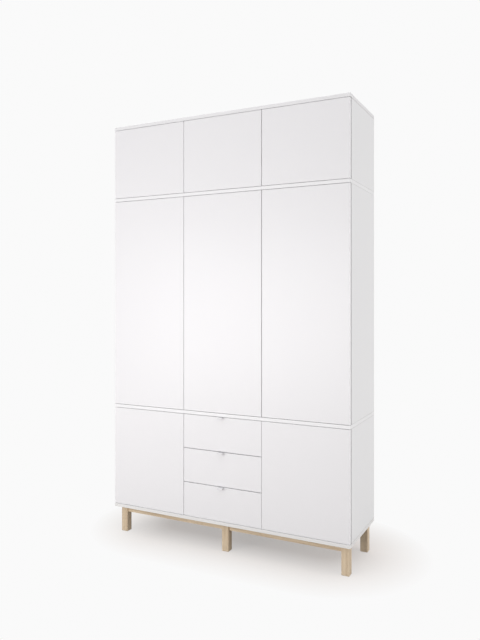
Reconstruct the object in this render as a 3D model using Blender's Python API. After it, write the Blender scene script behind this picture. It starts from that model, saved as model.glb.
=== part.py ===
"""Three-door wardrobe with a top unit: white boards on an oak leg frame.

Metres, +Z up. The fronts face -Y, and the origin is on the floor, under the
middle of the whole object. Every piece is built where it stands, and a piece
that moves has its origin on its own axis.
"""

import math

import bmesh
import bpy
from mathutils import Matrix, Vector

# Overall size
WIDTH = 1.400
DEPTH = 0.434
LEG_HEIGHT = 0.152
LOW_OPENING = 0.554
TALL_OPENING = 1.163
TOP_OPENING = 0.393
COLUMNS = 3

# Boards, fronts and back sheets
BOARD = 0.018
FRONT = 0.018
BACK_SHEET = 0.003
BACK_INSET = 0.012
EDGE_ROUND = 0.0008

# Fits between pieces
FRONT_GAP = 0.002
DRAWER_GAP = 0.0032
COLUMN_GAP = 0.0025
BASE_MEETING_GAP = 0.0018
DOOR_MEETING_GAP = 0.0032
STANDOFF = 0.006
SEAT = 0.0003
JOIN = 0.004
CUT_PAST = 0.010

# Leg frame
LEG_SECTION = 0.040
LEG_SIDE_INSET = 0.018
LEG_FRONT_INSET = 0.042
LEG_REAR_INSET = 0.025
LEG_ROUND = 0.002
LEG_FOOT_CHAMFER = 0.002
RAIL_HEIGHT = 0.038
RAIL_THICKNESS = 0.024
MORTISE = 0.018

# Concealed hinges
HINGE_END = 0.090
HINGE_COUNT_SHORT = 2
HINGE_COUNT_TALL = 3
HINGE_ARM = 0.013
HINGE_ARM_HEIGHT = 0.016
HINGE_LENGTH = 0.058
HINGE_PLATE = 0.004
HINGE_PLATE_HEIGHT = 0.044
HINGE_PLATE_LENGTH = 0.030
HINGE_PLATE_SETBACK = 0.022
HINGE_STRIP = 0.0015
HINGE_STRIP_WIDTH = 0.014
HINGE_STRIP_SETBACK = 0.004
HINGE_NOSE = 0.011
CUP_RADIUS = 0.0175
CUP_DEPTH = 0.0115
CUP_EDGE = 0.023
CUP_REST = 0.004
CUP_SIDES = 28

# Drawers
BOX_WALL = 0.012
BOX_FLOOR = 0.006
BOX_RAISE = 0.016
BOX_DROP = 0.045
BOX_BACK_SPACE = 0.030
RUNNER_SPACE = 0.013
RUNNER_HEIGHT = 0.045
RUNNER_RAISE = 0.012
RUNNER_SHEET = 0.0015
RUNNER_CLEARANCE = 0.0005
RUNNER_SIDE_SPACE = 0.0025
SLIDE_SETBACK = 0.010

# Drawer pulls, bent from sheet over the top edge of each front
PULL_WIDTH = 0.030
PULL_REACH = 0.022
PULL_LIP = 0.007
PULL_FLANGE = 0.018
PULL_SHEET = 0.0015
PULL_BEND = 0.004
BEND_STEPS = 4

# Inside fittings
SHELF_SPACE = 0.004
PIN_RADIUS = 0.0025
PIN_DEPTH = 0.010
PIN_PITCH = 0.064
PIN_SETBACK = 0.050
PIN_SIDES = 8
HAT_SPACE = 0.280
LEFT_SHELVES = 2
HANGER_RADIUS = 0.0125
HANGER_WALL = 0.0015
HANGER_DROP = 0.060
SOCKET_WALL = 0.004
SOCKET_DEPTH = 0.012
TUBE_SIDES = 24

# Planes front to back
FRONT_Y = PULL_REACH - (DEPTH + PULL_REACH) / 2
BACK_Y = FRONT_Y + DEPTH
FRONT_REAR_Y = FRONT_Y + FRONT
CARCASS_Y = FRONT_REAR_Y + STANDOFF
SHEET_Y = BACK_Y - BACK_INSET - BACK_SHEET

# Column lines from left to right, and the inner faces of the outer sides
COLUMN = WIDTH / COLUMNS
LINE_X = [COLUMN * index - WIDTH / 2 for index in range(COLUMNS + 1)]
LEFT_FACE_X = LINE_X[0] + BOARD
RIGHT_FACE_X = LINE_X[-1] - BOARD
LEFT_LINE, RIGHT_LINE = LINE_X[1], LINE_X[2]

# Levels from the floor up
BOTTOM_Z = LEG_HEIGHT
LOW_Z = BOTTOM_Z + BOARD
LOW_TOP_Z = LOW_Z + LOW_OPENING
TALL_Z = LOW_TOP_Z + BOARD
TALL_TOP_Z = TALL_Z + TALL_OPENING
TOP_Z = TALL_TOP_Z + BOARD
TOP_TOP_Z = TOP_Z + TOP_OPENING
SECTIONS = {"base": (LOW_Z, LOW_TOP_Z), "tall": (TALL_Z, TALL_TOP_Z), "top": (TOP_Z, TOP_TOP_Z)}
HINGES = {"base": HINGE_COUNT_SHORT, "tall": HINGE_COUNT_TALL, "top": HINGE_COUNT_SHORT}

# Doors: section, name of the column, its number, and the side that the hinges are on
DOORS = [
    ("base", "left", 0, "left"),
    ("base", "right", 2, "right"),
    ("tall", "left", 0, "left"),
    ("tall", "middle", 1, "left"),
    ("tall", "right", 2, "right"),
    ("top", "left", 0, "left"),
    ("top", "middle", 1, "left"),
    ("top", "right", 2, "right"),
]
DRAWERS = ["lower", "middle", "upper"]
DRAWER_HEIGHT = (LOW_OPENING - FRONT_GAP * 2 - DRAWER_GAP * (len(DRAWERS) - 1)) / len(DRAWERS)


def clear_scene():
    """Removes every object that the scene starts with."""
    for old in list(bpy.data.objects):
        bpy.data.objects.remove(old)


def finish(name, colour, roughness, metallic=0.0):
    """A plain Principled material."""
    made = bpy.data.materials.new(name)
    made.use_nodes = True
    shader = made.node_tree.nodes["Principled BSDF"]
    shader.inputs["Base Color"].default_value = (*colour, 1.0)
    shader.inputs["Roughness"].default_value = roughness
    shader.inputs["Metallic"].default_value = metallic
    return made


def make_finishes():
    """The finishes of the wardrobe, by name."""
    return {
        "white": finish("white_board", (0.86, 0.86, 0.87), 0.35),
        "sheet": finish("white_sheet", (0.80, 0.80, 0.81), 0.55),
        "oak": finish("oak", (0.60, 0.46, 0.31), 0.55),
        "pull": finish("white_metal", (0.82, 0.82, 0.83), 0.30, 0.0),
        "steel": finish("zinc_steel", (0.62, 0.63, 0.65), 0.35, 1.0),
        "chrome": finish("chrome", (0.80, 0.81, 0.82), 0.15, 1.0),
    }


def add_box(shape, low, high):
    """Adds a box between two corners to a bmesh."""
    low, high = Vector(low), Vector(high)
    place = Matrix.Translation((low + high) / 2) @ Matrix.Diagonal((*(high - low), 1))
    bmesh.ops.create_cube(shape, size=1, matrix=place)


def box(low, high, rounding=0.0):
    """A bmesh with one box, its edges eased by rounding."""
    shape = bmesh.new()
    add_box(shape, low, high)
    if rounding:
        ease(shape, shape.edges[:], rounding, 1)
    return shape


def ease(shape, edges, width, segments):
    """Rounds the given edges of a bmesh."""
    bmesh.ops.bevel(shape, geom=edges, offset=width, offset_type="OFFSET", affect="EDGES",
                    segments=segments, profile=0.5, material=-1)


def add_cylinder(shape, start, end, radius, sides):
    """Adds a closed cylinder from start to end to a bmesh."""
    start, end = Vector(start), Vector(end)
    turn = (end - start).to_track_quat("Z", "Y").to_matrix().to_4x4()
    bmesh.ops.create_cone(shape, cap_ends=True, segments=sides, radius1=radius, radius2=radius,
                          depth=(end - start).length, matrix=Matrix.Translation((start + end) / 2) @ turn)


def add_tube(shape, low_x, high_x, y, z, outer, inner):
    """Adds an open tube along X to a bmesh, by spinning its wall's section."""
    section = [(low_x, inner), (low_x, outer), (high_x, outer), (high_x, inner)]
    corners = [shape.verts.new((x, y, z + radius)) for x, radius in section]
    edges = [shape.edges.new((corners[i], corners[i - 1])) for i in range(len(corners))]
    bmesh.ops.spin(shape, geom=edges, cent=(0, y, z), axis=(1, 0, 0), angle=math.tau,
                   steps=TUBE_SIDES, use_merge=True)


def add_prism(shape, outline, low, high, place):
    """Adds an outline of two-number points, extruded from low to high; place turns them into a point."""
    face = shape.faces.new([shape.verts.new(place(a, b, low)) for a, b in outline])
    grown = bmesh.ops.extrude_face_region(shape, geom=[face])["geom"]
    moved = [item for item in grown if isinstance(item, bmesh.types.BMVert)]
    bmesh.ops.translate(shape, verts=moved, vec=Vector(place(0, 0, high)) - Vector(place(0, 0, low)))


def make_object(name, shape, origin):
    """A mesh object from a bmesh, with its origin at a point of the scene."""
    bmesh.ops.recalc_face_normals(shape, faces=shape.faces)
    bmesh.ops.translate(shape, verts=shape.verts, vec=-Vector(origin))
    mesh = bpy.data.meshes.new(name)
    shape.to_mesh(mesh)
    shape.free()
    made = bpy.data.objects.new(name, mesh)
    made.location = origin
    bpy.context.collection.objects.link(made)
    return made


def make_node(name, shape, material, origin=(0, 0, 0), smooth=False):
    """A piece of the wardrobe."""
    made = make_object(name, shape, origin)
    made.data.materials.append(material)
    if smooth:
        made.data.shade_smooth()
        made.data.set_sharp_from_angle(angle=math.radians(40))
    return made


def combine(node, name, shape, operation):
    """Joins a hidden helper shape to a node, or cuts the node with it."""
    helper = make_object(f"{node.name}_{name}", shape, (0, 0, 0))
    helper.hide_render = True
    helper.display_type = "WIRE"
    change = node.modifiers.new(name, "BOOLEAN")
    change.operation = operation
    change.object = helper


def gather(name, origin, nodes):
    """Parents nodes to an empty that stands on their axis."""
    empty = bpy.data.objects.new(name, None)
    empty.location = origin
    bpy.context.collection.objects.link(empty)
    for node in nodes:
        node.parent = empty
        node.location = node.location - Vector(origin)


def front_span(column, section="base"):
    """Left and right edge of a front in a column. Free edges meet on the right line, with a gap of their own."""
    left, right = LINE_X[column] + COLUMN_GAP / 2, LINE_X[column + 1] - COLUMN_GAP / 2
    meeting = BASE_MEETING_GAP if section == "base" else DOOR_MEETING_GAP
    if column == 1:
        right = RIGHT_LINE - meeting / 2
    if column == 2:
        left = RIGHT_LINE + meeting / 2
    return left, right


def cup_x(column, hinge):
    """Where the hinge cups of a door in a column are, from left to right."""
    left, right = front_span(column)
    return left + CUP_EDGE if hinge == "left" else right - CUP_EDGE


def hinge_levels(section):
    """Heights of the hinges of a section's doors."""
    low, high = SECTIONS[section]
    count = HINGES[section]
    step = (high - low - 2 * HINGE_END) / (count - 1)
    return [low + HINGE_END + step * index for index in range(count)]


def build_leg_frame(oak):
    """Six legs and two rails. Each rail lies in slots in the tops of its three legs."""
    end_x = WIDTH / 2 - LEG_SIDE_INSET - LEG_SECTION / 2
    leg_y = {"front": FRONT_Y + LEG_FRONT_INSET + LEG_SECTION / 2,
             "rear": BACK_Y - LEG_REAR_INSET - LEG_SECTION / 2}
    rail_end = end_x - LEG_SECTION / 2 + MORTISE
    half = LEG_SECTION / 2
    top = LEG_HEIGHT - SEAT
    for row, y in leg_y.items():
        rail_low = (-rail_end, y - RAIL_THICKNESS / 2, top - RAIL_HEIGHT)
        rail_high = (rail_end, y + RAIL_THICKNESS / 2, top)
        make_node(f"{row}_rail", box(rail_low, rail_high, EDGE_ROUND), oak)
        for column, x in (("left", -end_x), ("middle", 0.0), ("right", end_x)):
            shape = box((x - half, y - half, 0), (x + half, y + half, top))
            upright = [e for e in shape.edges if abs(e.verts[0].co.z - e.verts[1].co.z) > half]
            ease(shape, upright, LEG_ROUND, 3)
            foot = [e for e in shape.edges if max(v.co.z for v in e.verts) < LEG_FOOT_CHAMFER]
            ease(shape, foot, LEG_FOOT_CHAMFER, 1)
            leg = make_node(f"leg_{row}_{column}", shape, oak)
            slot_low = Vector(rail_low) - Vector((SEAT, SEAT, SEAT))
            slot_high = Vector(rail_high) + Vector((SEAT, SEAT, CUT_PAST))
            combine(leg, "slot", box(slot_low, slot_high), "DIFFERENCE")


def build_boards(white):
    """Four boards over the whole width and depth, with their front edges flush with the doors."""
    levels = {"bottom": BOTTOM_Z, "lower": LOW_TOP_Z, "upper": TALL_TOP_Z, "top": TOP_TOP_Z}
    for name, z in levels.items():
        shape = box((LINE_X[0], FRONT_Y, z), (LINE_X[-1], BACK_Y, z + BOARD), EDGE_ROUND)
        make_node(f"{name}_board", shape, white)


def panel(section, left_x, right_x, back_y):
    """An upright board of a section, seated between the boards over and under it."""
    low, high = SECTIONS[section]
    return box((left_x, CARCASS_Y, low + SEAT), (right_x, back_y, high - SEAT), EDGE_ROUND)


def hinge_face(column, hinge):
    """The face of the upright that carries a door's hinges, and the way it looks: 1 to the right."""
    if hinge == "right":
        return RIGHT_FACE_X, -1
    return (LEFT_FACE_X if column == 0 else LINE_X[column] + BOARD / 2), 1


def build_hinges(steel):
    """The hinge arms of each door on their plates, joined by one thin mounting strip.

    A cross plate at the nose of each arm bears on the back of the door, over and under the cup's bore.
    """
    strip_y = CARCASS_Y + HINGE_STRIP_SETBACK
    plate_y = CARCASS_Y + HINGE_PLATE_SETBACK
    nose_y = FRONT_REAR_Y + SEAT
    half_plate = HINGE_PLATE_HEIGHT / 2
    half_arm = HINGE_ARM_HEIGHT / 2
    half_cross = CUP_RADIUS + CUP_REST
    for section, name, column, hinge in DOORS:
        face_x, side = hinge_face(column, hinge)
        levels = hinge_levels(section)
        near_x = face_x + side * SEAT
        strip = sorted((near_x, near_x + side * HINGE_STRIP))
        node = make_node(f"{section}_{name}_hinges",
                         box((strip[0], strip_y, levels[0] - half_plate),
                             (strip[1], strip_y + HINGE_STRIP_WIDTH, levels[-1] + half_plate)), steel)
        arms, plates, noses = bmesh.new(), bmesh.new(), bmesh.new()
        across = sorted((near_x + side * HINGE_STRIP / 2, near_x + side * HINGE_ARM))
        beside = sorted((near_x, near_x + side * HINGE_PLATE))
        nose_x = cup_x(column, hinge)
        for z in levels:
            add_box(arms, (across[0], nose_y + STANDOFF / 2, z - half_arm),
                    (across[1], CARCASS_Y + HINGE_LENGTH, z + half_arm))
            add_box(plates, (beside[0], plate_y, z - half_plate),
                    (beside[1], plate_y + HINGE_PLATE_LENGTH, z + half_plate))
            add_box(noses, (nose_x - HINGE_NOSE / 2, nose_y, z - half_cross),
                    (nose_x + HINGE_NOSE / 2, CARCASS_Y - SEAT, z + half_cross))
        combine(node, "arms", arms, "UNION")
        combine(node, "plates", plates, "UNION")
        combine(node, "noses", noses, "UNION")


def add_socket(node, face_x, side):
    """Joins a socket ring for the hanging rail to a panel."""
    ring = bmesh.new()
    ends = sorted((face_x - side * JOIN, face_x + side * SOCKET_DEPTH))
    y, z = hanger_axis()
    add_tube(ring, *ends, y, z, HANGER_RADIUS + SEAT + SOCKET_WALL, HANGER_RADIUS + SEAT)
    combine(node, "rail_socket", ring, "UNION")


def pin_levels():
    """Heights of the shelf pins in the narrow space, one hole pitch apart."""
    count = int(TALL_OPENING / PIN_PITCH)
    return [TALL_Z + PIN_PITCH * (index + 1) for index in range(count - 1)]


def shelf_pin_z(index):
    """Height of the pins that carry a shelf of the narrow space: the holes nearest to even spacing."""
    wanted = TALL_Z + TALL_OPENING * (index + 1) / (LEFT_SHELVES + 1)
    return min(pin_levels(), key=lambda z: abs(z - wanted))


def add_pin_holes(node, face_x, side):
    """Drills two rows of shelf pin holes into a panel's face. Side is 1 where the face looks to the right."""
    holes = bmesh.new()
    for y in (CARCASS_Y + PIN_SETBACK, SHEET_Y - PIN_SETBACK):
        for z in pin_levels():
            add_cylinder(holes, (face_x - side * PIN_DEPTH, y, z), (face_x + side * CUT_PAST, y, z),
                         PIN_RADIUS, PIN_SIDES)
    combine(node, "pin_holes", holes, "DIFFERENCE")


def build_uprights(white):
    """Outer sides of the three sections, and the dividers between their columns."""
    half = BOARD / 2
    divider_back = SHEET_Y - SEAT
    for section in SECTIONS:
        left = make_node(f"{section}_left_side", panel(section, LINE_X[0], LEFT_FACE_X, BACK_Y), white)
        right = make_node(f"{section}_right_side", panel(section, RIGHT_FACE_X, LINE_X[-1], BACK_Y), white)
        name = "base_left_divider" if section == "base" else f"{section}_divider"
        divider = make_node(name, panel(section, LEFT_LINE - half, LEFT_LINE + half, divider_back), white)
        if section == "base":
            shape = panel(section, RIGHT_LINE - half, RIGHT_LINE + half, divider_back)
            make_node("base_right_divider", shape, white)
        if section == "tall":
            add_socket(divider, LEFT_LINE + half, 1)
            add_socket(right, RIGHT_FACE_X, -1)
            add_pin_holes(left, LEFT_FACE_X, 1)
            add_pin_holes(divider, LEFT_LINE - half, -1)


def build_backs(sheet):
    """A thin back sheet for each section, between its sides and boards."""
    for section, (low, high) in SECTIONS.items():
        shape = box((LEFT_FACE_X + SEAT, SHEET_Y, low + SEAT),
                    (RIGHT_FACE_X - SEAT, SHEET_Y + BACK_SHEET, high - SEAT))
        make_node(f"{section}_back", shape, sheet)


def hat_shelf_z():
    """Underside of the hat shelf."""
    return TALL_TOP_Z - HAT_SPACE - BOARD


def hanger_axis():
    """Where the hanging rail lies: y and z of its axis."""
    return (CARCASS_Y + SHEET_Y) / 2, hat_shelf_z() - HANGER_DROP


def shelf(left_x, right_x, z):
    """A shelf between two uprights, with its underside at z."""
    front_y = CARCASS_Y + HINGE_STRIP_SETBACK + HINGE_STRIP_WIDTH + SHELF_SPACE
    return box((left_x + SEAT, front_y, z), (right_x - SEAT, SHEET_Y - SEAT, z + BOARD), EDGE_ROUND)


def build_inside(white, chrome):
    """Hat shelf and hanging rail of the wide space, and the shelves of the narrow one."""
    half = BOARD / 2
    make_node("hat_shelf", shelf(LEFT_LINE + half, RIGHT_FACE_X, hat_shelf_z()), white)
    for index in range(LEFT_SHELVES):
        z = shelf_pin_z(index) + PIN_RADIUS + SEAT
        make_node(f"left_shelf_{index + 1}", shelf(LEFT_FACE_X, LEFT_LINE - half, z), white)
    tube = bmesh.new()
    add_tube(tube, LEFT_LINE + half + SEAT, RIGHT_FACE_X - SEAT, *hanger_axis(),
             HANGER_RADIUS, HANGER_RADIUS - HANGER_WALL)
    make_node("hanging_rail", tube, chrome, smooth=True)


def build_doors(white):
    """Eight doors. Each turns about its front edge on the hinge side, and has bores for the hinge cups."""
    for section, name, column, hinge in DOORS:
        left, right = front_span(column, section)
        low, high = SECTIONS[section]
        shape = box((left, FRONT_Y, low + FRONT_GAP), (right, FRONT_REAR_Y, high - FRONT_GAP), EDGE_ROUND)
        axis_x = left if hinge == "left" else right
        door = make_node(f"{section}_{name}_door", shape, white, origin=(axis_x, FRONT_Y, low + FRONT_GAP))
        bores = bmesh.new()
        x = cup_x(column, hinge)
        for z in hinge_levels(section):
            add_cylinder(bores, (x, FRONT_REAR_Y - CUP_DEPTH, z), (x, FRONT_REAR_Y + CUT_PAST, z),
                         CUP_RADIUS, CUP_SIDES)
        combine(door, "cup_bores", bores, "DIFFERENCE")


def pull_outline(top):
    """Section of a pull in y and z: lip, bend, plate over the front, and flange behind it."""
    lip_y = FRONT_Y - PULL_REACH
    flange_y = FRONT_REAR_Y + SEAT + PULL_SHEET
    bend_y, bend_z = lip_y + PULL_BEND, top - PULL_BEND
    turns = [math.pi / 2 * step / BEND_STEPS for step in range(BEND_STEPS + 1)]
    outer = [(bend_y - PULL_BEND * math.cos(a), bend_z + PULL_BEND * math.sin(a)) for a in turns]
    inside = PULL_BEND - PULL_SHEET
    inner = [(bend_y - inside * math.cos(a), bend_z + inside * math.sin(a)) for a in reversed(turns)]
    flange = [(flange_y, top), (flange_y, top - PULL_FLANGE), (flange_y - PULL_SHEET, top - PULL_FLANGE),
              (flange_y - PULL_SHEET, top - PULL_SHEET)]
    return [(lip_y, top - PULL_LIP), *outer, *flange, *inner, (lip_y + PULL_SHEET, top - PULL_LIP)]


def build_drawer_front(name, low, high, finishes):
    """A drawer front with a shallow notch in its top edge, and the pull that lies in it."""
    left, right = front_span(1)
    middle = (left + right) / 2
    half = PULL_WIDTH / 2
    front = make_node(f"{name}_drawer_front",
                      box((left, FRONT_Y, low), (right, FRONT_REAR_Y, high), EDGE_ROUND), finishes["white"])
    notch = box((middle - half - SEAT, FRONT_Y - CUT_PAST, high - PULL_SHEET - SEAT),
                (middle + half + SEAT, FRONT_REAR_Y + CUT_PAST, high + CUT_PAST))
    combine(front, "pull_notch", notch, "DIFFERENCE")
    shape = bmesh.new()
    add_prism(shape, pull_outline(high), middle - half, middle + half, lambda y, z, x: (x, y, z))
    pull = make_node(f"{name}_drawer_pull", shape, finishes["pull"])
    return [front, pull]


def build_drawer_box(name, low, high, white):
    """An open box behind a drawer front, with a slide bar along each side."""
    inner_left = LEFT_LINE + BOARD / 2
    inner_right = RIGHT_LINE - BOARD / 2
    box_low = Vector((inner_left + RUNNER_SPACE, FRONT_REAR_Y + SEAT, low + BOX_RAISE))
    box_high = Vector((inner_right - RUNNER_SPACE, SHEET_Y - BOX_BACK_SPACE, high - BOX_DROP))
    made = make_node(f"{name}_drawer_box", box(box_low, box_high), white)
    cavity = box(box_low + Vector((BOX_WALL, BOX_WALL, BOX_FLOOR)),
                 box_high + Vector((-BOX_WALL, -BOX_WALL, CUT_PAST)))
    combine(made, "cavity", cavity, "DIFFERENCE")
    bars = bmesh.new()
    bar_reach = RUNNER_SPACE - SEAT - RUNNER_SHEET - RUNNER_CLEARANCE
    bar_low = box_low.z + RUNNER_RAISE + RUNNER_SHEET + RUNNER_CLEARANCE
    bar_high = box_low.z + RUNNER_RAISE + RUNNER_HEIGHT - RUNNER_SHEET - RUNNER_CLEARANCE
    for side_x, side in ((box_low.x, -1), (box_high.x, 1)):
        across = sorted((side_x - side * JOIN, side_x + side * bar_reach))
        add_box(bars, (across[0], CARCASS_Y + SLIDE_SETBACK, bar_low), (across[1], box_high.y, bar_high))
    combine(made, "slide_bars", bars, "UNION")
    return made


def build_runners(name, low, steel):
    """A pair of steel channels on the dividers, which the drawer's slide bars run in."""
    runner_low = low + BOX_RAISE + RUNNER_RAISE
    runner_high = runner_low + RUNNER_HEIGHT
    depth = RUNNER_SPACE - SEAT - RUNNER_SIDE_SPACE
    rear_y = SHEET_Y - BOX_BACK_SPACE
    for hand, face_x, side in (("left", LEFT_LINE + BOARD / 2, 1), ("right", RIGHT_LINE - BOARD / 2, -1)):
        web, lip = face_x + side * SEAT, face_x + side * (SEAT + depth)
        inner = web + side * RUNNER_SHEET
        outline = [(web, runner_low), (lip, runner_low), (lip, runner_low + RUNNER_SHEET),
                   (inner, runner_low + RUNNER_SHEET), (inner, runner_high - RUNNER_SHEET),
                   (lip, runner_high - RUNNER_SHEET), (lip, runner_high), (web, runner_high)]
        shape = bmesh.new()
        add_prism(shape, outline, CARCASS_Y, rear_y, lambda x, z, y: (x, y, z))
        make_node(f"{name}_drawer_{hand}_runner", shape, steel)


def build_drawers(finishes):
    """Three drawers in the middle column, each with its front, pull, box and runners."""
    for index, name in enumerate(DRAWERS):
        low = LOW_Z + FRONT_GAP + index * (DRAWER_HEIGHT + DRAWER_GAP)
        high = low + DRAWER_HEIGHT
        moving = build_drawer_front(name, low, high, finishes)
        moving.append(build_drawer_box(name, low, high, finishes["white"]))
        build_runners(name, low, finishes["steel"])
        gather(f"{name}_drawer", (0, FRONT_Y, low), moving)


def main():
    """Builds the wardrobe."""
    clear_scene()
    finishes = make_finishes()
    build_leg_frame(finishes["oak"])
    build_boards(finishes["white"])
    build_uprights(finishes["white"])
    build_backs(finishes["sheet"])
    build_inside(finishes["white"], finishes["chrome"])
    build_doors(finishes["white"])
    build_hinges(finishes["steel"])
    build_drawers(finishes)


main()
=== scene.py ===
"""Dresses a three-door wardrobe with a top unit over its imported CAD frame.

The CAD solids give the main shapes. This script adds the finishes, the fittings, the studio and
the camera. Lengths are metres, the floor is at z = 0 and the fronts face -Y.
"""

import logging
import math
from collections.abc import Iterable, Sequence
from dataclasses import dataclass, field
from enum import Enum

import bmesh
import bpy
from mathutils import Matrix, Vector


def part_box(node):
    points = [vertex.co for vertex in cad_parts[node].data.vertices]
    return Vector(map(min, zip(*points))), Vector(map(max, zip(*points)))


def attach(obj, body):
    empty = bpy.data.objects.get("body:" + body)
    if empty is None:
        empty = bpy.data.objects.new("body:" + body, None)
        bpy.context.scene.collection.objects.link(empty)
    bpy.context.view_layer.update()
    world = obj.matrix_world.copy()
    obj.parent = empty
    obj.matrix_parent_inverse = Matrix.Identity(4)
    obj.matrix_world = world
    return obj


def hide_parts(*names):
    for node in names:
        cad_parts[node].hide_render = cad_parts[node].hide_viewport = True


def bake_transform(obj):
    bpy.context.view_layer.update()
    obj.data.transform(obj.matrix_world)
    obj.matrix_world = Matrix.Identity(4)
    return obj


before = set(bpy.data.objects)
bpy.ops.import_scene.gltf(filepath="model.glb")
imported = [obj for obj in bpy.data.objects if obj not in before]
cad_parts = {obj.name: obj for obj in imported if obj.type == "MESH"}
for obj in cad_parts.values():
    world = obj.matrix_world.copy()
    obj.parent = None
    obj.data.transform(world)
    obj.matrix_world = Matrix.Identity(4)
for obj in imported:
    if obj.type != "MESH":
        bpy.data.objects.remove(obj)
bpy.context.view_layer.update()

LOG = logging.getLogger("wardrobe")

Colour = tuple[float, float, float, float]
Triple = tuple[float, float, float]
Pair = tuple[float, float]
Socket = bpy.types.NodeSocket
Inputs = bpy.types.NodeInputs
Outputs = bpy.types.NodeOutputs
Value = float | tuple[float, ...] | Socket
Mesh = bmesh.types.BMesh

CARCASS = "carcass"
BOARD_THICKNESS = 0.018
# How far the solids of the fittings stand off the boards that carry them.
SEAT = 0.0003
# Faces that meet at more than this keep a crisp edge between them.
CRISP_ANGLE = math.radians(38.0)

ORIGIN: Triple = (0.0, 0.0, 0.0)
WHITE: Colour = (1.0, 1.0, 1.0, 1.0)
BLACK: Colour = (0.0, 0.0, 0.0, 1.0)
REARWARD = Vector((0.0, 1.0, 0.0))
FORWARD = Vector((0.0, -1.0, 0.0))
DOWNWARD = Vector((0.0, 0.0, -1.0))


class Axis(Enum):
    """A direction of the shared frame."""

    X = (1.0, 0.0, 0.0)
    Y = (0.0, 1.0, 0.0)
    Z = (0.0, 0.0, 1.0)

    def turn(self) -> Triple:
        """Gives the turn that lays a pattern along this direction when it is drawn along Z."""
        quarter = math.pi / 2
        return {Axis.X: (0.0, quarter, 0.0), Axis.Y: (quarter, 0.0, 0.0)}.get(self, ORIGIN)


class Hand(Enum):
    """The edge that a door hangs on; the value points from that edge into the door."""

    LEFT = 1.0
    RIGHT = -1.0


class Kind(Enum):
    """What a socket of a node group carries."""

    NUMBER = "NodeSocketFloat"
    VECTOR = "NodeSocketVector"
    COLOUR = "NodeSocketColor"


class Graph:
    """Short calls that add and join the nodes of one tree."""

    def __init__(self, tree: bpy.types.NodeTree) -> None:
        """Empties the tree of a material, a world or a node group, ready to be filled."""
        self.tree = tree
        tree.nodes.clear()

    def add(self, kind: str, inputs: dict[str | int, Value] | None = None,
            **settings: object) -> bpy.types.Node:
        """Adds a node.

        Args:
            kind: The node's type name.
            inputs: Values or sockets for its inputs, by name or number.
            **settings: Its own properties.

        Returns:
            The new node.
        """
        node = self.tree.nodes.new(kind)
        for name, value in settings.items():
            setattr(node, name, value)
        for name, value in (inputs or {}).items():
            self.feed(node.inputs[name], value)
        return node

    def feed(self, socket: Socket, value: Value) -> None:
        """Links a socket to an input, or sets the input's plain value.

        Args:
            socket: The input.
            value: An output socket, a number or a colour.
        """
        if isinstance(value, Socket):
            self.tree.links.new(value, socket)
        else:
            socket.default_value = value

    def math(self, operation: str, first: Value, second: Value = 0.0) -> Socket:
        """Adds one step of arithmetic."""
        return self.add("ShaderNodeMath", {0: first, 1: second}, operation=operation).outputs[0]

    def vector(self, operation: str, first: Value, second: Value = ORIGIN) -> Socket:
        """Adds one step of vector arithmetic that gives a vector."""
        node = self.add("ShaderNodeVectorMath", {0: first, 1: second}, operation=operation)
        return node.outputs["Vector"]

    def measure(self, operation: str, first: Value, second: Value = ORIGIN) -> Socket:
        """Adds one step of vector arithmetic that gives a number."""
        node = self.add("ShaderNodeVectorMath", {0: first, 1: second}, operation=operation)
        return node.outputs["Value"]

    def part(self, vector: Value, axis: Axis) -> Socket:
        """Takes one coordinate out of a vector."""
        return self.add("ShaderNodeSeparateXYZ", {0: vector}).outputs[axis.name]

    def spread(self, value: Value, low: float = 0.0, high: float = 1.0, start: Value = 0.0,
               end: Value = 1.0) -> Socket:
        """Maps the range from low to high onto the range from start to end, held at its ends."""
        inputs = {0: value, 1: low, 2: high, 3: start, 4: end}
        return self.add("ShaderNodeMapRange", inputs, clamp=True).outputs[0]

    def mix(self, factor: Value, first: Value, second: Value) -> Socket:
        """Mixes two colours; the factor is how much of the second one shows."""
        inputs = {0: factor, 6: first, 7: second}
        return self.add("ShaderNodeMix", inputs, data_type="RGBA").outputs[2]

    def noise(self, vector: Value, scale: Value, detail: float, warp: float = 0.0) -> Socket:
        """Adds soft noise; scale is how fine it is, detail its finer layers and warp its pull."""
        inputs = {"Vector": vector, "Scale": scale, "Detail": detail, "Distortion": warp}
        return self.add("ShaderNodeTexNoise", inputs).outputs[0]

    def streaks(self, vector: Value, squeeze: float, scale: Value, detail: float,
                warp: float = 0.0) -> Socket:
        """Adds noise that is drawn out along Z, where its coordinates are squeezed."""
        return self.noise(self.stretch(vector, (1.0, 1.0, squeeze)), scale, detail, warp)

    def stretch(self, vector: Value, scale: Triple = (1.0, 1.0, 1.0),
                turn: Triple = ORIGIN) -> Socket:
        """Stretches a pattern's coordinates, and turns them about each axis, in radians."""
        inputs = {"Vector": vector, "Scale": scale, "Rotation": turn}
        return self.add("ShaderNodeMapping", inputs).outputs[0]


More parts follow.
